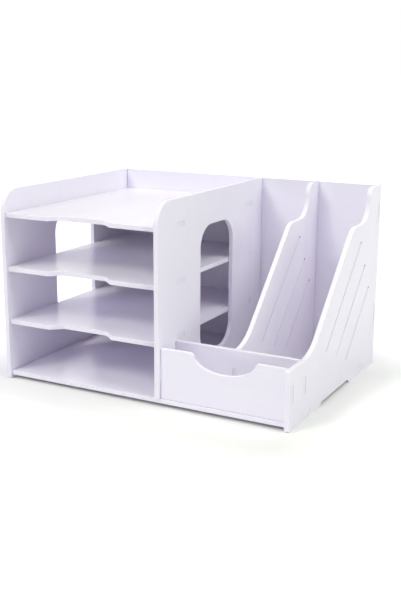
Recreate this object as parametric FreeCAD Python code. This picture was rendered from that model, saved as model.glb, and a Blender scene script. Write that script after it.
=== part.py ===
import FreeCAD, Part
import math
import os

os.makedirs("parts", exist_ok=True)

# A desk sorter of flat boards that key together with flush through tenons.
# Millimetres. +X is right, +Y is to the back, +Z is up.
# The origin is on the desk, at the middle of the footprint.

Vector = FreeCAD.Vector

# Boards and how they fit
board = 6.0                  # thickness of every board
tenon_fit = 0.1              # clearance round a tenon in its mortise
tenon_play = 0.4             # more room on the one side that a tenon doesn't bear on
tray_gap = 0.4               # gap from a tray board, which hangs on its tenons, to panels and base
corner_radius = 3.0          # rounding of a panel's exposed corners

# Overall room
depth = 315.0                # side panels, front edge to back edge
foot_height = 5.0            # gap under the base
paper_bay_width = 230.0      # clear width of the shelves
file_slot_width = 83.0       # clear width of each of the two file slots
compartment_height = 67.0    # clear height between two shelves
shelf_names = ["lower_shelf", "middle_shelf", "top_shelf"]
rim_height = 30.0            # how far the walls stand above the top shelf

# Setbacks from the edges of the side panels
shelf_setback = 3.0          # shelves and base, from the front edge
tray_setback = 5.0           # front board of the tray, from the front edge
back_setback = 5.0           # back panel, from the back edge

# Pen tray
tray_room = 33.0             # clear room from the tray's front board to its back board
tray_headroom = 1.0          # how far the top of the tray boards lies below the lower shelf
finger_cut_width = 86.0      # half an ellipse, along the top edge
finger_cut_depth = 22.0
finger_cut_offset = 2.0      # its middle, to the right of the tray's middle
finger_cut_corner = 4.0      # rounding where the cut meets the top edge

# Finger notch in the front edge of each shelf
notch_width = 98.0           # at the front edge
notch_floor_width = 67.0     # at its floor, so its ends slope
notch_depth = 13.5
notch_radius = 8.0

# Window in the left and middle panels
window_width = 96.0
window_offset = 2.0          # its middle, behind the middle of the side panels
window_radius = 30.0
window_sill = 25.0           # its lower edge, above the base
window_head = 9.0            # its upper edge, below the top shelf

# Outline of the side panels
front_top_radius = 30.0      # left and middle panels, front top corner
foot_gap_width = 110.0       # gap between the two feet, its ends sloping at 45 degrees

# Swept outline of the right panel and the divider
sweep_foot = 70.0            # where the slope starts, from the front edge
sweep_foot_radius = 62.0
ledge_front = 109.0          # where the slope ends, from the back edge
ledge_drop = 46.0            # height of the ledge, below the top
ledge_nose_radius = 28.0
ledge_radius = 29.0
crest_length = 46.0          # full-height part, from the back edge
crest_radius = 15.0

# Slits parallel to the slope, each with a drilled hole at its upper end
slit_count = 3
slit_pitch = 39.0            # across the slope
slit_width = 1.6
slit_hole = 3.2              # diameter of the drilled hole
slit_top_drop = 24.0         # upper end of the first slit, below the ledge
slit_top_step = 35.0         # each next slit ends this much lower
slit_bottom_drop = 8.0       # lower end of the first slit, below the tray's top
slit_bottom_step = 16.0      # each next slit starts this much lower

# Tenons
flat_tenon_length = 18.0     # on the shelves and the base, and under the upright boards
flat_tenon_inset = 48.5      # from the panel's front and back edges to the tenon
tray_tenon_height = 21.0
tray_tenon_rise = 24.0       # above the base
divider_tenon_height = 18.0  # into the back board of the tray
back_tenon_height = 24.0
back_tenon_rise = 51.0       # lower tenon, above the base
back_tenon_drop = 26.0       # upper tenon, below the top

overcut = 1.0                # how far a cut runs past the face it starts from
touching = 0.01              # points nearer than this are the same point

# Places along X, from left to right
total_width = 4 * board + paper_bay_width + 2 * file_slot_width
left_outer = -total_width / 2
left_inner = left_outer + board
middle_left = left_inner + paper_bay_width
middle_right = middle_left + board
divider_left = middle_right + file_slot_width
divider_right = divider_left + board
right_inner = divider_right + file_slot_width
right_outer = right_inner + board

# Places along Y, from front to back
front_edge = -depth / 2
shelf_front = front_edge + shelf_setback
tray_front_face = front_edge + tray_setback
tray_back_face = tray_front_face + board + tray_room
file_room_front = tray_back_face + board
back_edge = depth / 2
back_rear_face = back_edge - back_setback
back_front_face = back_rear_face - board

# Heights
base_top = foot_height + board
tray_top = base_top + compartment_height - tray_headroom
shelf_pitch = compartment_height + board
shelf_heights = [base_top + compartment_height + i * shelf_pitch for i in range(len(shelf_names))]
top_edge = shelf_heights[-1] + board + rim_height
ledge_height = top_edge - ledge_drop

# Slope of the swept outline
slope_start = Vector(0, front_edge + sweep_foot, tray_top)
slope_end = Vector(0, back_edge - ledge_front, ledge_height)
slope_direction = (slope_end - slope_start).normalize()
slope_inward = Vector(0, slope_direction.z, -slope_direction.y)

# Tenons as bars that run through the board that carries them. A bar is three spans: x, y, z.
front_row = (front_edge + flat_tenon_inset, front_edge + flat_tenon_inset + flat_tenon_length)
back_row = (back_edge - flat_tenon_inset - flat_tenon_length, back_edge - flat_tenon_inset)
divider_front_row = (file_room_front + flat_tenon_inset,
                     file_room_front + flat_tenon_inset + flat_tenon_length)
base_layer = (foot_height, base_top)
tray_layer = (base_top + tray_tenon_rise, base_top + tray_tenon_rise + tray_tenon_height)
divider_layer = (base_top + tray_tenon_rise, base_top + tray_tenon_rise + divider_tenon_height)
low_back_layer = (base_top + back_tenon_rise, base_top + back_tenon_rise + back_tenon_height)
high_back_layer = (top_edge - back_tenon_drop - back_tenon_height, top_edge - back_tenon_drop)
bay_centres = [(left_inner + middle_left) / 2, (middle_right + divider_left) / 2,
               (divider_right + right_inner) / 2]

shelf_tenons = {name: [((left_outer, middle_right), row, (height, height + board))
                       for row in (front_row, back_row)]
                for name, height in zip(shelf_names, shelf_heights)}
base_tenons = [((left_outer, right_outer), row, base_layer) for row in (front_row, back_row)]
tray_tenons = {name: [((middle_left, right_outer), (face, face + board), tray_layer)]
               for name, face in (("tray_front", tray_front_face), ("tray_back", tray_back_face))}
back_side_tenons = [((left_outer, right_outer), (back_front_face, back_rear_face), layer)
                    for layer in (low_back_layer, high_back_layer)]
back_foot_tenons = [((centre - flat_tenon_length / 2, centre + flat_tenon_length / 2),
                     (back_front_face, back_rear_face), (foot_height, base_top + board))
                    for centre in bay_centres]


def upright_tenons(left_face, foot_rows):
    """Tenons of a front-to-back wall, into the back panel and into the base."""
    wall = (left_face, left_face + board)
    into_back = [(wall, (back_front_face - board, back_rear_face), layer)
                 for layer in (low_back_layer, high_back_layer)]
    into_base = [(wall, row, (foot_height, base_top + board)) for row in foot_rows]
    return into_back, into_base


middle_back_tenons, middle_foot_tenons = upright_tenons(middle_left, (front_row, back_row))
divider_back_tenons, divider_foot_tenons = upright_tenons(divider_left, (divider_front_row, back_row))
divider_front_tenons = [((divider_left, divider_right),
                         (tray_back_face, file_room_front + board), divider_layer)]


def block(spans):
    """A box from its x, y and z spans."""
    low = Vector(*[span[0] for span in spans])
    size = [span[1] - span[0] for span in spans]
    return Part.makeBox(*size, low)


def mortise(tenon, through, play):
    """The cut that a tenon passes through along one axis, wider by its fit and its play."""
    spans = []
    for axis, (start, end) in enumerate(tenon):
        margin = overcut if axis == through else tenon_fit
        spans.append((start - margin + min(play[axis], 0), end + margin + max(play[axis], 0)))
    return block(spans)


ALONG_X, ALONG_Y, ALONG_Z = 0, 1, 2
PLAY_BEHIND = (0, tenon_play, 0)
PLAY_LEFT = (-tenon_play, 0, 0)


def with_tenons(solid, tenons):
    """The board with its tenons, whose shoulders stay as edges in the board's flat faces."""
    return solid.fuse([block(tenon).cut(solid) for tenon in tenons])


def with_mortises(solid, tenons, through, play=PLAY_BEHIND):
    return solid.cut([mortise(tenon, through, play) for tenon in tenons])


def rounded_face(corners):
    """A flat face from (point, radius) corners, with a tangent arc at each rounded one."""
    arcs = []
    for i, (corner, radius) in enumerate(corners):
        to_last = (corners[i - 1][0] - corner).normalize()
        to_next = (corners[(i + 1) % len(corners)][0] - corner).normalize()
        half_angle = to_last.getAngle(to_next) / 2
        inward = (to_last + to_next).normalize()
        reach = radius / math.tan(half_angle)
        middle = corner + inward * (radius / math.sin(half_angle) - radius)
        arcs.append((corner + to_last * reach, middle, corner + to_next * reach, radius))
    edges = []
    for i, (start, middle, end, radius) in enumerate(arcs):
        edges.append(Part.LineSegment(arcs[i - 1][2], start).toShape())
        if radius > 0:
            edges.append(Part.Arc(start, middle, end).toShape())
    return Part.Face(Part.Wire(edges))


def wall_board(left_face, corners):
    """A front-to-back wall from its (y, z, radius) corners."""
    face = rounded_face([(Vector(left_face, y, z), radius) for y, z, radius in corners])
    return face.extrude(Vector(board, 0, 0))


def flat_board(underside, corners):
    """A level board from its (x, y, radius) corners."""
    face = rounded_face([(Vector(x, y, underside), radius) for x, y, radius in corners])
    return face.extrude(Vector(0, 0, board))


def foot_corners():
    """The lower edge of an outer panel, from the back foot to the front foot."""
    gap = foot_gap_width / 2
    return [(back_edge, 0, corner_radius),
            (gap, 0, 0),
            (gap - foot_height, foot_height, 0),
            (foot_height - gap, foot_height, 0),
            (-gap, 0, 0),
            (front_edge, 0, corner_radius)]


def sweep_corners():
    """The upper edge of a swept board, from the slope's foot to the crest."""
    crest_front = back_edge - crest_length
    return [(slope_start.y, slope_start.z, sweep_foot_radius),
            (slope_end.y, slope_end.z, ledge_nose_radius),
            (crest_front, ledge_height, ledge_radius),
            (crest_front, top_edge, crest_radius)]


def cut_window(wall, left_face):
    low = base_top + window_sill
    high = shelf_heights[-1] - window_head
    front = window_offset - window_width / 2
    rear = window_offset + window_width / 2
    opening = rounded_face([(Vector(left_face - overcut, y, z), window_radius)
                            for y, z in ((front, low), (rear, low), (rear, high), (front, high))])
    return wall.cut(opening.extrude(Vector(board + 2 * overcut, 0, 0)))


def cut_slits(wall, left_face):
    thickness = board + 2 * overcut
    slope_angle = math.degrees(math.atan2(slope_direction.z, slope_direction.y))
    for i in range(slit_count):
        line = slope_start + slope_inward * (slit_pitch * (i + 1))
        top = ledge_height - slit_top_drop - i * slit_top_step
        bottom = tray_top - slit_bottom_drop - i * slit_bottom_step
        upper_end = line + slope_direction * ((top - line.z) / slope_direction.z)
        lower_end = line + slope_direction * ((bottom - line.z) / slope_direction.z)
        upper_end.x = lower_end.x = left_face - overcut
        bar = Part.makeBox(thickness, (upper_end - lower_end).Length, slit_width,
                           Vector(0, 0, -slit_width / 2))
        bar.rotate(Vector(0, 0, 0), Vector(1, 0, 0), slope_angle)
        bar.translate(lower_end)
        rounded_end = Part.makeCylinder(slit_width / 2, thickness, lower_end, Vector(1, 0, 0))
        drilled_end = Part.makeCylinder(slit_hole / 2, thickness, upper_end, Vector(1, 0, 0))
        wall = wall.cut([bar, rounded_end, drilled_end])
    return wall


def all_shelf_tenons():
    return [tenon for tenons in shelf_tenons.values() for tenon in tenons]


def make_left_side_panel():
    wall = wall_board(left_outer, foot_corners() + [(front_edge, top_edge, front_top_radius),
                                                    (back_edge, top_edge, corner_radius)])
    wall = cut_window(wall, left_outer)
    return with_mortises(wall, all_shelf_tenons() + base_tenons + back_side_tenons, ALONG_X)


def make_middle_panel():
    wall = wall_board(middle_left, [(back_front_face, base_top, 0),
                                    (front_edge, base_top, 0),
                                    (front_edge, top_edge, front_top_radius),
                                    (back_front_face, top_edge, 0)])
    wall = with_tenons(cut_window(wall, middle_left), middle_back_tenons + middle_foot_tenons)
    tray_bars = tray_tenons["tray_front"] + tray_tenons["tray_back"]
    return with_mortises(wall, all_shelf_tenons() + tray_bars, ALONG_X)


def make_right_side_panel():
    wall = wall_board(right_inner, foot_corners() + [(front_edge, tray_top, corner_radius)]
                      + sweep_corners() + [(back_edge, top_edge, corner_radius)])
    wall = cut_slits(wall, right_inner)
    tray_bars = tray_tenons["tray_front"] + tray_tenons["tray_back"]
    return with_mortises(wall, base_tenons + tray_bars + back_side_tenons, ALONG_X)


def make_file_divider():
    whole = wall_board(divider_left, [(back_front_face, base_top, 0),
                                      (front_edge, base_top, 0),
                                      (front_edge, tray_top, 0)]
                       + sweep_corners() + [(back_front_face, top_edge, 0)])
    behind_tray = block(((divider_left, divider_right), (file_room_front, back_front_face),
                         (base_top, top_edge)))
    wall = cut_slits(whole.common(behind_tray), divider_left)
    return with_tenons(wall, divider_back_tenons + divider_foot_tenons + divider_front_tenons)


def make_back_panel():
    wall = block(((left_inner, right_inner), (back_front_face, back_rear_face), (base_top, top_edge)))
    wall = with_tenons(wall, back_side_tenons + back_foot_tenons)
    return with_mortises(wall, middle_back_tenons + divider_back_tenons, ALONG_Y, PLAY_LEFT)


def make_base_panel():
    floor = block(((left_inner, right_inner), (shelf_front, back_rear_face), base_layer))
    floor = with_tenons(floor, base_tenons)
    return with_mortises(floor, middle_foot_tenons + divider_foot_tenons + back_foot_tenons, ALONG_Z)


def make_shelf(name, underside):
    centre = (left_inner + middle_left) / 2
    half_mouth = notch_width / 2
    half_floor = notch_floor_width / 2
    notch_floor = shelf_front + notch_depth
    shelf = flat_board(underside, [(middle_left, shelf_front, 0),
                                   (middle_left, back_front_face, 0),
                                   (left_inner, back_front_face, 0),
                                   (left_inner, shelf_front, 0),
                                   (centre - half_mouth, shelf_front, notch_radius),
                                   (centre - half_floor, notch_floor, notch_radius),
                                   (centre + half_floor, notch_floor, notch_radius),
                                   (centre + half_mouth, shelf_front, notch_radius)])
    return with_tenons(shelf, shelf_tenons[name])


def tray_board(name, front_face):
    wall = block(((middle_right + tray_gap, right_inner - tray_gap),
                  (front_face, front_face + board), (base_top + tray_gap, tray_top)))
    return with_tenons(wall, tray_tenons[name])


def edges_through(solid, x, z):
    """The edges that run front to back through one point of the front view."""
    return [edge for edge in solid.Edges
            if all(abs(end.X - x) < touching and abs(end.Z - z) < touching for end in edge.Vertexes)]


def make_tray_front():
    wall = tray_board("tray_front", tray_front_face)
    centre = (middle_right + right_inner) / 2 + finger_cut_offset
    half_width = finger_cut_width / 2
    outline = Part.Ellipse(Vector(0, 0, 0), half_width, finger_cut_depth).toShape()
    half_moon = Part.Face(Part.Wire(outline)).extrude(Vector(0, 0, board + 2 * overcut))
    half_moon.rotate(Vector(0, 0, 0), Vector(1, 0, 0), -90)
    half_moon.translate(Vector(centre, tray_front_face - overcut, tray_top))
    wall = wall.cut(half_moon)
    lips = (edges_through(wall, centre - half_width, tray_top)
            + edges_through(wall, centre + half_width, tray_top))
    return wall.makeFillet(finger_cut_corner, lips)


def make_tray_back():
    wall = tray_board("tray_back", tray_back_face)
    return with_mortises(wall, divider_front_tenons, ALONG_Y, PLAY_LEFT)


pieces = {
    "left_side_panel": make_left_side_panel(),
    "middle_panel": make_middle_panel(),
    "right_side_panel": make_right_side_panel(),
    "file_divider": make_file_divider(),
    "back_panel": make_back_panel(),
    "base_panel": make_base_panel(),
    "tray_front": make_tray_front(),
    "tray_back": make_tray_back(),
}
for name, underside in zip(shelf_names, shelf_heights):
    pieces[name] = make_shelf(name, underside)

for name, solid in pieces.items():
    solid.exportStep(f"parts/{name}.step")
    box = solid.BoundBox
    print(f"{name}: {len(solid.Solids)} solid, valid {solid.isValid()}, "
          f"{box.XLength:.1f} x {box.YLength:.1f} x {box.ZLength:.1f} mm")
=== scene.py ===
import math

import bmesh
import bpy
from mathutils import Matrix, Vector


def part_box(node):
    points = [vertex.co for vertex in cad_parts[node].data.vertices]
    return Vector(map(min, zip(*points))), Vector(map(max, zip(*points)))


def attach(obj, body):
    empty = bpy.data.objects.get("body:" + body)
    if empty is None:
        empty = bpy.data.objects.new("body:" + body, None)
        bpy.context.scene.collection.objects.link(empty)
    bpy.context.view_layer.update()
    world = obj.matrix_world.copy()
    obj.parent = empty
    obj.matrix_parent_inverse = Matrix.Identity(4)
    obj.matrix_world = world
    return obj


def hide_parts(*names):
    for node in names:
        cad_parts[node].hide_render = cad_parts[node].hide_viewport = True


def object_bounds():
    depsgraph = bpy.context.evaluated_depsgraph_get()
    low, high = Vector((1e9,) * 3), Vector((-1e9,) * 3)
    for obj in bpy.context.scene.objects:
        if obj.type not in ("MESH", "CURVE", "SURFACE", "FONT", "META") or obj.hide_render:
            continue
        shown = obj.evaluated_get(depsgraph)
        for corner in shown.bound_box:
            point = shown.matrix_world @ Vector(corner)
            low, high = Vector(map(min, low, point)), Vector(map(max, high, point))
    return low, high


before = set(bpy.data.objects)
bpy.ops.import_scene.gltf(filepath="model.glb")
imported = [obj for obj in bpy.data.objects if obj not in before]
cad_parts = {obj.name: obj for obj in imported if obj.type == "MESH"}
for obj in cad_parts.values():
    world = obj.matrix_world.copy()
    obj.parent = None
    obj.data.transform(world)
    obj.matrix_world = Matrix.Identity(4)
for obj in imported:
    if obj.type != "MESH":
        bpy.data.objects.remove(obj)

scene = bpy.context.scene
cadLow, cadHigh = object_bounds()
print("frame loaded:", len(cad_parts), "boards")


def place(tree, kind, values=None, **settings):
    # adds one shader node; a socket among the values becomes a link
    node = tree.nodes.new(kind)
    for name, value in settings.items():
        setattr(node, name, value)
    for name, value in (values or {}).items():
        if isinstance(value, bpy.types.NodeSocket):
            tree.links.new(value, node.inputs[name])
        else:
            node.inputs[name].default_value = value
    return node


def mix(tree, factor, first, second):
    # colour mix: first where the factor is 0, second where it is 1
    return place(tree, "ShaderNodeMix", {0: factor, 6: first, 7: second}, data_type="RGBA").outputs[2]


def blend(tree, factor, first, second):
    # the same for plain values
    return place(tree, "ShaderNodeMix", {0: factor, 2: first, 3: second}, data_type="FLOAT").outputs[0]


def math2(tree, operation, first, second, clamp=False):
    return place(tree, "ShaderNodeMath", {0: first, 1: second},
                 operation=operation, use_clamp=clamp).outputs[0]


def ramp(tree, value, low, high, outLow=0.0, outHigh=1.0):
    # maps low..high to outLow..outHigh with a smooth start and end
    return place(tree, "ShaderNodeMapRange",
                 {"Value": value, "From Min": low, "From Max": high, "To Min": outLow, "To Max": outHigh},
                 interpolation_type="SMOOTHSTEP").outputs["Result"]


def newGroup(name, inputs, outputs):
    group = bpy.data.node_groups.new(name, "ShaderNodeTree")
    for label, kind in inputs:
        group.interface.new_socket(name=label, in_out="INPUT", socket_type="NodeSocket" + kind)
    for label, kind in outputs:
        group.interface.new_socket(name=label, in_out="OUTPUT", socket_type="NodeSocket" + kind)
    return group, group.nodes.new("NodeGroupInput").outputs, group.nodes.new("NodeGroupOutput").inputs


def useGroup(tree, group, values):
    return place(tree, "ShaderNodeGroup", values, node_tree=group).outputs


def colour(red, green, blue):
    return (red, green, blue, 1.0)


noiseKinds = {
    "drift": {"Detail": 3.0, "Roughness": 0.5},
    "streak": {"Detail": 2.0, "Roughness": 0.6},
    "dimple": {"Detail": 2.0, "Roughness": 0.5},
    "tooth": {"Detail": 3.0, "Roughness": 0.65},
    "rub": {"Detail": 1.0, "Distortion": 0.6},
    "rubPatches": {"Detail": 1.0},
    "wornPatches": {"Detail": 4.0, "Roughness": 0.7},
}

maskRange = {
    # from where an effect begins to where it is whole
    "clouds": (0.3, 0.7),
    "pits": (0.0, 0.3),
    "rubPatches": (0.58, 0.7),
    "wornPatches": (0.42, 0.62),
}

middleGrey = 0.5        # a rub mark runs where its noise passes this value


def noise(tree, kind, vector, scale):
    return place(tree, "ShaderNodeTexNoise",
                 {"Vector": vector, "Scale": scale, **noiseKinds[kind]}).outputs["Fac"]


def buildCloudGroup():
    # slow drift of tone over a sheet, with fainter streaks along the way it was drawn
    group, source, result = newGroup("sheetClouds", [("Vector", "Vector"), ("Drift Scale", "Float"),
                                                     ("Streak Scale", "Float"), ("Streak Share", "Float")],
                                     [("Mask", "Float")])
    drift = noise(group, "drift", source["Vector"], source["Drift Scale"])
    streak = noise(group, "streak", source["Vector"], source["Streak Scale"])
    both = blend(group, source["Streak Share"], drift, streak)
    group.links.new(ramp(group, both, *maskRange["clouds"]), result["Mask"])
    return group


def buildGrainGroup():
    # fine skin of the board: a soft dimple with a finer tooth on it
    group, source, result = newGroup("sheetGrain", [("Vector", "Vector"), ("Dimple Scale", "Float"),
                                                    ("Tooth Scale", "Float"), ("Tooth Share", "Float")],
                                     [("Height", "Float")])
    dimple = noise(group, "dimple", source["Vector"], source["Dimple Scale"])
    tooth = noise(group, "tooth", source["Vector"], source["Tooth Scale"])
    group.links.new(blend(group, source["Tooth Share"], dimple, tooth), result["Height"])
    return group


def buildCellGroup():
    # open foam cells on a cut edge
    group, source, result = newGroup("foamCells", [("Vector", "Vector"), ("Cell Scale", "Float"),
                                                   ("Open Share", "Float")],
                                     [("Pits", "Float")])
    cells = place(group, "ShaderNodeTexVoronoi", {"Vector": source["Vector"], "Scale": source["Cell Scale"],
                                                  "Randomness": 1.0}, feature="F1")
    size = place(group, "ShaderNodeSeparateColor", {"Color": cells.outputs["Color"]}, mode="RGB")
    reach = math2(group, "MULTIPLY", size.outputs[0], source["Open Share"])
    depth = math2(group, "SUBTRACT", reach, cells.outputs["Distance"])
    group.links.new(ramp(group, depth, *maskRange["pits"]), result["Pits"])
    return group


def buildScuffGroup():
    # a few hair-fine rub marks, gathered in patches
    group, source, result = newGroup("handlingScuffs", [("Vector", "Vector"), ("Mark Scale", "Float"),
                                                        ("Patch Scale", "Float"), ("Width", "Float")],
                                     [("Mask", "Float")])
    lines = noise(group, "rub", source["Vector"], source["Mark Scale"])
    offset = math2(group, "ABSOLUTE", math2(group, "SUBTRACT", lines, middleGrey), 0.0)
    hair = place(group, "ShaderNodeMapRange",
                 {"Value": offset, "From Min": 0.0, "From Max": source["Width"],
                  "To Min": 1.0, "To Max": 0.0}).outputs["Result"]
    patches = noise(group, "rubPatches", source["Vector"], source["Patch Scale"])
    where = ramp(group, patches, *maskRange["rubPatches"])
    group.links.new(math2(group, "MULTIPLY", hair, where, clamp=True), result["Mask"])
    return group


def buildWearGroup():
    # handling wear along the arrises, stronger in some places than in others
    group, source, result = newGroup("edgeWear", [("Vector", "Vector"), ("Arris", "Float"),
                                                  ("Patch Scale", "Float")],
                                     [("Mask", "Float")])
    patches = noise(group, "wornPatches", source["Vector"], source["Patch Scale"])
    where = ramp(group, patches, *maskRange["wornPatches"])
    group.links.new(math2(group, "MULTIPLY", source["Arris"], where, clamp=True), result["Mask"])
    return group


sheetClouds = buildCloudGroup()
sheetGrain = buildGrainGroup()
foamCells = buildCellGroup()
handlingScuffs = buildScuffGroup()
edgeWear = buildWearGroup()
print("shared effects built")


skinLook = {
    "colour": colour(0.903, 0.864, 0.990),
    "cloudColour": colour(0.922, 0.888, 0.993),
    "scuffColour": colour(0.770, 0.735, 0.830),
    "scuffStrength": 0.3,
    "scuffDullness": 0.3,
    "grainSpan": (0.3, 0.9),
    "roughness": (0.18, 0.25),
    "specular": 0.4,
    "driftScale": 9.0,
    "streakScale": 55.0,
    "streakShare": 0.4,
    "streakStretch": 0.06,
    "dimpleScale": 420.0,
    "toothScale": 1500.0,
    "toothShare": 0.3,
    "bumpStrength": 0.35,
    "bumpDistance": 0.00003,
    "markScale": 60.0,
    "markStretch": 0.12,
    "markWidth": 0.004,
    "patchScale": 14.0,
}

cutLook = {
    "colour": colour(0.914, 0.879, 0.983),
    "cloudColour": colour(0.924, 0.893, 0.985),
    "pitColour": colour(0.780, 0.745, 0.850),
    "wornColour": colour(0.915, 0.895, 0.955),
    "pitStrength": 0.6,
    "wearStrength": 0.6,
    # painted shade for the walls of joints, slits and holes
    "paintedShadeColour": colour(0.260, 0.235, 0.330),
    "paintedShadeStrength": 0.75,
    "roughness": (0.66, 0.80),
    "specular": 0.35,
    "driftScale": 60.0,
    "strokeScale": 900.0,
    "strokeShare": 0.6,
    "strokeStretch": 0.04,
    "cellScale": 1900.0,
    "openShare": 0.75,
    "strokeHeight": 0.5,
    "bumpStrength": 0.45,
    "bumpDistance": 0.00012,
    "patchScale": 120.0,
}

paintedBoardLight = {
    # painted light and shade: each board's colour as a share of the skin's colour, lighter for boards that
    # stand in shade between others, darker for the lit right outer face and the tray front
    "plain": (1.0, 1.0, 1.0),
    "right_side_panel": (0.955, 0.958, 0.960),
    "tray_front": (0.978, 0.985, 0.975),
    "file_divider": (1.030, 1.040, 1.005),
    "middle_panel": (1.015, 1.025, 1.005),
    "middle_shelf": (1.030, 1.040, 1.005),
    "left_side_panel": (0.985, 0.990, 0.975),
    "top_shelf": (0.990, 0.990, 0.975),
    "back_panel": (1.000, 1.010, 0.990),
}

streakAxis = {"X": 2, "Y": 0, "Z": 1}      # the way a sheet was drawn, for each thickness axis


def stretched(tree, coordinates, axis, factor):
    scale = [1.0, 1.0, 1.0]
    scale[axis] = factor
    return place(tree, "ShaderNodeMapping", {"Vector": coordinates, "Scale": scale},
                 vector_type="POINT").outputs["Vector"]


def newMaterial(name):
    material = bpy.data.materials.new(name)
    material.use_nodes = True
    material.node_tree.nodes.clear()
    return material, material.node_tree


# scales a colour by a board's painted light and shade share
def withPaintedLight(shade, paintedLight):
    return colour(*(part * share for part, share in zip(shade, paintedLight)))


def buildSkin(name, axis):
    look = skinLook
    paintedLight = paintedBoardLight.get(name, paintedBoardLight["plain"])
    material, tree = newMaterial(name + "_skin")
    coordinates = place(tree, "ShaderNodeTexCoord").outputs["Object"]
    drawn = stretched(tree, coordinates, streakAxis[axis], look["streakStretch"])
    clouds = useGroup(tree, sheetClouds, {"Vector": drawn, "Drift Scale": look["driftScale"],
                                          "Streak Scale": look["streakScale"],
                                          "Streak Share": look["streakShare"]})["Mask"]
    grain = useGroup(tree, sheetGrain, {"Vector": coordinates, "Dimple Scale": look["dimpleScale"],
                                        "Tooth Scale": look["toothScale"],
                                        "Tooth Share": look["toothShare"]})["Height"]
    rubbed = stretched(tree, coordinates, streakAxis[axis], look["markStretch"])
    scuffs = useGroup(tree, handlingScuffs, {"Vector": rubbed, "Mark Scale": look["markScale"],
                                             "Patch Scale": look["patchScale"],
                                             "Width": look["markWidth"]})["Mask"]
    # painted light and shade: the skin colour scaled by the board's share
    base = mix(tree, clouds, withPaintedLight(look["colour"], paintedLight), withPaintedLight(look["cloudColour"], paintedLight))
    marked = mix(tree, math2(tree, "MULTIPLY", scuffs, look["scuffStrength"]), base, look["scuffColour"])
    dulled = math2(tree, "ADD", grain, math2(tree, "MULTIPLY", scuffs, look["scuffDullness"]))
    roughness = ramp(tree, dulled, *look["grainSpan"], *look["roughness"])
    bump = place(tree, "ShaderNodeBump", {"Height": grain, "Strength": look["bumpStrength"],
                                          "Distance": look["bumpDistance"]})
    shader = place(tree, "ShaderNodeBsdfPrincipled", {"Base Color": marked, "Roughness": roughness,
                                                      "Normal": bump.outputs["Normal"],
                                                      "Specular IOR Level": look["specular"]})
    place(tree, "ShaderNodeOutputMaterial", {"Surface": shader.outputs["BSDF"]})
    return material


def buildCut(axis):
    look = cutLook
    material, tree = newMaterial("boardCut" + axis)
    coordinates = place(tree, "ShaderNodeTexCoord").outputs["Object"]
    strokes = stretched(tree, coordinates, "XYZ".index(axis), look["strokeStretch"])
    clouds = useGroup(tree, sheetClouds, {"Vector": strokes, "Drift Scale": look["driftScale"],
                                          "Streak Scale": look["strokeScale"],
                                          "Streak Share": look["strokeShare"]})["Mask"]
    pits = useGroup(tree, foamCells, {"Vector": coordinates, "Cell Scale": look["cellScale"],
                                      "Open Share": look["openShare"]})["Pits"]
    arris = place(tree, "ShaderNodeAttribute", attribute_name="arris").outputs["Fac"]
    worn = useGroup(tree, edgeWear, {"Vector": coordinates, "Arris": arris,
                                     "Patch Scale": look["patchScale"]})["Mask"]
    base = mix(tree, clouds, look["colour"], look["cloudColour"])
    pitted = mix(tree, math2(tree, "MULTIPLY", pits, look["pitStrength"]), base, look["pitColour"])
    rubbed = mix(tree, math2(tree, "MULTIPLY", worn, look["wearStrength"]), pitted, look["wornColour"])
    # painted shade in joints, slits and holes and a little on tenon ends, carried by a face attribute
    paintedShade = place(tree, "ShaderNodeAttribute", attribute_name="paintedShade").outputs["Fac"]
    shaded = mix(tree, math2(tree, "MULTIPLY", paintedShade, look["paintedShadeStrength"]), rubbed,
                 look["paintedShadeColour"])
    roughness = ramp(tree, clouds, 0.0, 1.0, *look["roughness"])
    height = math2(tree, "SUBTRACT", math2(tree, "MULTIPLY", clouds, look["strokeHeight"]), pits)
    bump = place(tree, "ShaderNodeBump", {"Height": height, "Strength": look["bumpStrength"],
                                          "Distance": look["bumpDistance"]})
    shader = place(tree, "ShaderNodeBsdfPrincipled", {"Base Color": shaded, "Roughness": roughness,
                                                      "Normal": bump.outputs["Normal"],
                                                      "Specular IOR Level": look["specular"]})
    place(tree, "ShaderNodeOutputMaterial", {"Surface": shader.outputs["BSDF"]})
    return material


skinSlot, cutSlot = 0, 1
cutFoam = {axis: buildCut(axis) for axis in "XYZ"}
print("cut foam built")


boardEdge = {
    "weld": 0.00002,             # corners nearer than this are one
    "flatAngle": math.radians(0.5),
    "sharpAngle": math.radians(35),
    "arris": 0.0004,             # rounding of an exposed edge
    "arrisSegments": 2,
    "arrisProfile": 0.5,         # round
    "room": 0.0045,              # an edge with less open room than this beside it stays crisp
    "probeInset": 0.0005,        # how far inside a face its room is felt
    "probeLift": 0.00002,
    "faceSlant": 0.9,            # a face at least this square to the thickness is sheet face
}

pocketRoom = {"joint": 0.001, "slit": 0.0022}      # widest joint gap, widest slit; a hole is wider
slitShade = {"right_side_panel": 0.25, "file_divider": 0.0}      # share of the whole painted pocket shade
tenonEnd = {"reach": 0.0002, "shade": 0.13}        # the end of a tenon in another board's face, which gets a little painted pocket shade

jointPlay = {
    "shelfEnd": 0.0004,          # a board's shoulder stands this far off the board it butts against
    "baseEnd": 0.0008,
    "uprightEnd": 0.0009,
    "backEnd": 0.0006,
}


def isCrowded(edge, view):
    # true where a joint, a slit or a running gap lies close beside one of the edge's faces
    middle = (edge.verts[0].co + edge.verts[1].co) / 2
    along = (edge.verts[1].co - edge.verts[0].co).normalized()
    for face in edge.link_faces:
        inward = face.normal.cross(along)
        if inward.dot(face.calc_center_median() - middle) < 0:
            inward = -inward
        start = middle + inward * boardEdge["probeInset"] + face.normal * boardEdge["probeLift"]
        if scene.ray_cast(view, start, face.normal, distance=boardEdge["room"])[0]:
            return True
    return False


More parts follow.
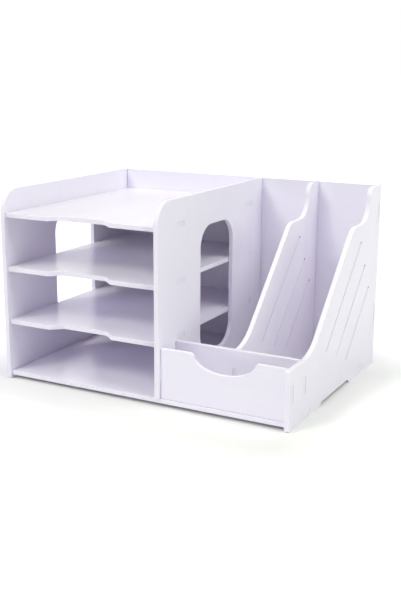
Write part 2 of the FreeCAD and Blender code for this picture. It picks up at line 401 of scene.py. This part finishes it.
def shoulders(name):
    # the shoulder planes of a board: axis, place, and how far that end draws back
    left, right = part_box("left_side_panel")[1].x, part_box("right_side_panel")[0].x
    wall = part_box("back_panel")[0].y
    short, low = jointPlay["shelfEnd"], jointPlay["baseEnd"]
    upright, back = jointPlay["uprightEnd"], jointPlay["backEnd"]
    if name.endswith("_shelf"):
        return [(0, left, short), (0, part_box("middle_panel")[0].x, -short)]
    if name == "base_panel":
        return [(0, left, low), (0, right, -low)]
    if name == "back_panel":
        return [(0, left, back), (0, right, -back)]
    if name in ("middle_panel", "file_divider"):
        return [(1, wall, -upright)]
    return []


def drawBack(form, name):
    # opens a hair's breadth at each shoulder, so that the joint shows as a line
    for axis, shoulder, play in shoulders(name):
        ends = [vert for vert in form.verts if abs(vert.co[axis] - shoulder) < boardEdge["weld"]]
        shift = Vector()
        shift[axis] = play
        bmesh.ops.translate(form, verts=ends, vec=shift)


def isTenonEnd(point, name):
    # true for a point that lies in the outer face of another board
    reach = Vector.Fill(3, tenonEnd["reach"])
    for other, (low, high) in boardBoxes.items():
        below, above = point - low + reach, high + reach - point
        if other != name and min(*below, *above) > 0:
            return True
    return False


def paintPocketShade(form, layer, flatFaces, view, name):
    # painted shade: darkens the walls of joints, slits and holes, which see hardly any room, and a little
    # the ends of tenons
    planes = shoulders(name)
    for face in flatFaces:
        middle = face.calc_center_median()
        start = middle + face.normal * boardEdge["probeLift"]
        for axis, shoulder, play in planes:
            if abs(middle[axis] - shoulder - play) < boardEdge["weld"]:
                start[axis] -= play
        isHit, hitPoint = scene.ray_cast(view, start, face.normal, distance=boardEdge["room"])[:2]
        if isHit:
            isSlit = pocketRoom["joint"] < (hitPoint - start).length < pocketRoom["slit"]
            face[layer] = slitShade.get(name, 1.0) if isSlit else 1.0
        elif face.material_index == cutSlot and isTenonEnd(middle, name):
            face[layer] = tenonEnd["shade"]


def dressBoard(name, view):
    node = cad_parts[name]
    low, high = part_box(name)
    size = high - low
    axis = min(range(3), key=lambda i: size[i])
    form = bmesh.new()
    form.from_mesh(node.data)
    mark = form.faces.layers.float.new("arris")
    # per face share of painted shade for pockets and tenon ends
    paintedShade = form.faces.layers.float.new("paintedShade")
    bmesh.ops.remove_doubles(form, verts=form.verts, dist=boardEdge["weld"])
    bmesh.ops.dissolve_limit(form, angle_limit=boardEdge["flatAngle"], use_dissolve_boundaries=False,
                             verts=form.verts, edges=form.edges)
    drawBack(form, name)
    form.normal_update()
    arrises = [edge for edge in form.edges
               if edge.is_manifold and edge.is_convex
               and edge.calc_face_angle() > boardEdge["sharpAngle"] and not isCrowded(edge, view)]
    rounded = bmesh.ops.bevel(form, geom=arrises, offset=boardEdge["arris"], offset_type="OFFSET",
                              segments=boardEdge["arrisSegments"], profile=boardEdge["arrisProfile"],
                              affect="EDGES", material=-1, clamp_overlap=True, loop_slide=False)
    for face in rounded["faces"]:
        face[mark] = 1.0
    form.normal_update()
    for face in form.faces:
        face.material_index = skinSlot if abs(face.normal[axis]) > boardEdge["faceSlant"] else cutSlot
        face.smooth = True
    flatFaces = [face for face in form.faces if face[mark] == 0.0]
    paintPocketShade(form, paintedShade, flatFaces, view, name)
    mesh = bpy.data.meshes.new(name + "_board")
    form.to_mesh(mesh)
    form.free()
    mesh.set_sharp_from_angle(angle=boardEdge["sharpAngle"])
    mesh.materials.append(buildSkin(name, "XYZ"[axis]))
    mesh.materials.append(cutFoam["XYZ"[axis]])
    piece = bpy.data.objects.new(name + "_board", mesh)
    scene.collection.objects.link(piece)
    shading = piece.modifiers.new("flatFaces", "WEIGHTED_NORMAL")
    shading.keep_sharp = True
    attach(piece, "root")
    print(f"{name}: {len(arrises)} arrises rounded, {len(mesh.polygons)} faces")
    return piece


bpy.context.view_layer.update()
solidView = bpy.context.evaluated_depsgraph_get()
boardBoxes = {name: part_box(name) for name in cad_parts}
boards = {name: dressBoard(name, solidView) for name in sorted(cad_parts)}
for name, piece in boards.items():
    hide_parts(name)


backdrop = {
    "size": 60.0,
    "colour": colour(0.850, 0.852, 0.854),
    "lift": 0.38,                # added where the camera looks straight at it, far from the sorter
    "liftReach": 0.15,           # how far off the whole lift is there
    # how far in from each side of the sorter the lift begins
    "liftInset": {"left": 0.02, "right": 0.02, "front": -0.035, "back": 0.07},
    "contact": 0.004,            # no lift closer to the sorter than this
}

daylight = {"colour": colour(0.8, 0.8, 1.0), "strength": 0.02}

lamps = {
    # azimuth from the front towards the right, height above the floor and spread in degrees
    "windowLamp": {"azimuth": -29, "height": 43, "spread": 20, "strength": 1.10,
                   "colour": (0.97, 1.00, 0.87)},
    "frontLamp": {"azimuth": 0, "height": 40, "spread": 30, "strength": 0.42,
                  "colour": (0.95, 1.00, 0.84)},
    "fillLamp": {"azimuth": 25, "height": 20, "spread": 40, "strength": 0.33,
                 "colour": (0.60, 0.50, 1.00)},
    "leftLamp": {"azimuth": -60, "height": 60, "spread": 30, "strength": 0.43,
                 "colour": (1.00, 0.98, 0.90)},
    "lowLeftLamp": {"azimuth": -90, "height": 15, "spread": 30, "strength": 0.80,
                    "colour": (0.72, 0.68, 1.00)},
    "backLeftLamp": {"azimuth": -120, "height": 20, "spread": 40, "strength": 0.82,
                     "colour": (0.80, 0.75, 1.00)},
    "rightLamp": {"azimuth": 90, "height": 60, "spread": 40, "strength": 1.57,
                  "colour": (0.98, 1.00, 0.91)},
    "lowRightLamp": {"azimuth": 90, "height": 15, "spread": 30, "strength": 0.61,
                     "colour": (0.92, 1.00, 0.87)},
}

viewpoint = {
    "place": (0.60555, -1.12228, 0.42383),
    "turn": math.radians(28.05),
    "tilt": math.radians(14.19),
    "roll": math.radians(0.29),
    "lens": 56.3,
}


def lookedAt(tree):
    # 1 for what the camera sees straight, in a reflection or through glass, 0 for the light it gives
    path = place(tree, "ShaderNodeLightPath").outputs
    seen = math2(tree, "ADD", path["Is Camera Ray"], path["Is Glossy Ray"])
    return math2(tree, "ADD", seen, path["Is Transmission Ray"], clamp=True)


def gapFrom(tree, low, high):
    # how far a floor point lies outside a rectangle
    point = place(tree, "ShaderNodeTexCoord").outputs["Object"]
    middle = (low + high) / 2
    half = (high - low) / 2
    offset = place(tree, "ShaderNodeVectorMath", {0: point, 1: (middle.x, middle.y, 0.0)},
                   operation="SUBTRACT").outputs[0]
    apart = place(tree, "ShaderNodeVectorMath", {0: offset}, operation="ABSOLUTE").outputs[0]
    beyond = place(tree, "ShaderNodeVectorMath", {0: apart, 1: (half.x, half.y, 0.0)},
                   operation="SUBTRACT").outputs[0]
    outside = place(tree, "ShaderNodeVectorMath", {0: beyond, 1: (0.0, 0.0, 0.0)},
                    operation="MAXIMUM").outputs[0]
    return place(tree, "ShaderNodeVectorMath", {0: outside}, operation="LENGTH").outputs["Value"]


def floorLift(tree):
    # none under the sorter, little in its shadow, whole further off
    inset = backdrop["liftInset"]
    shadeLow = cadLow + Vector((inset["left"], inset["front"], 0.0))
    shadeHigh = cadHigh - Vector((inset["right"], inset["back"], 0.0))
    far = ramp(tree, gapFrom(tree, shadeLow, shadeHigh), 0.0, backdrop["liftReach"], 0.0, backdrop["lift"])
    near = ramp(tree, gapFrom(tree, cadLow, cadHigh), 0.0, backdrop["contact"])
    return math2(tree, "MULTIPLY", far, near)


def buildFloor():
    form = bmesh.new()
    bmesh.ops.create_grid(form, x_segments=1, y_segments=1, size=backdrop["size"] / 2)
    mesh = bpy.data.meshes.new("studioFloor")
    form.to_mesh(mesh)
    form.free()
    material, tree = newMaterial("studioPaper")
    paper = place(tree, "ShaderNodeBsdfDiffuse", {"Color": backdrop["colour"]})
    glow = place(tree, "ShaderNodeEmission", {"Strength": math2(tree, "MULTIPLY", lookedAt(tree),
                                                                floorLift(tree))})
    both = place(tree, "ShaderNodeAddShader", {0: paper.outputs[0], 1: glow.outputs[0]})
    place(tree, "ShaderNodeOutputMaterial", {"Surface": both.outputs[0]})
    mesh.materials.append(material)
    floor = bpy.data.objects.new("studioFloor", mesh)
    scene.collection.objects.link(floor)


def buildWorld():
    world = bpy.data.worlds.new("studioWorld")
    world.use_nodes = True
    tree = world.node_tree
    tree.nodes.clear()
    light = place(tree, "ShaderNodeBackground",
                  {"Color": daylight["colour"], "Strength": daylight["strength"]})
    white = place(tree, "ShaderNodeBackground", {"Color": colour(1.0, 1.0, 1.0), "Strength": 1.0})
    choice = place(tree, "ShaderNodeMixShader",
                   {0: lookedAt(tree), 1: light.outputs[0], 2: white.outputs[0]})
    place(tree, "ShaderNodeOutputWorld", {"Surface": choice.outputs[0]})
    scene.world = world


def buildLamp(name, facts):
    azimuth, height = math.radians(facts["azimuth"]), math.radians(facts["height"])
    source = Vector((math.sin(azimuth) * math.cos(height), -math.cos(azimuth) * math.cos(height),
                     math.sin(height)))
    lamp = bpy.data.lights.new(name, "SUN")
    lamp.angle = math.radians(facts["spread"])
    lamp.energy = facts["strength"]
    lamp.color = facts["colour"]
    holder = bpy.data.objects.new(name, lamp)
    holder.rotation_euler = source.to_track_quat("Z", "Y").to_euler()
    scene.collection.objects.link(holder)


def buildCamera():
    lens = bpy.data.cameras.new("studioCamera")
    lens.lens = viewpoint["lens"]
    lens.clip_end = backdrop["size"]
    camera = bpy.data.objects.new("studioCamera", lens)
    camera.matrix_world = (Matrix.Translation(viewpoint["place"])
                           @ Matrix.Rotation(viewpoint["turn"], 4, "Z")
                           @ Matrix.Rotation(math.pi / 2 - viewpoint["tilt"], 4, "X")
                           @ Matrix.Rotation(viewpoint["roll"], 4, "Z"))
    scene.collection.objects.link(camera)
    scene.camera = camera


buildFloor()
buildWorld()
for name, facts in lamps.items():
    buildLamp(name, facts)
buildCamera()
scene.view_settings.view_transform = "Standard"
print("floor, lamps and camera placed")
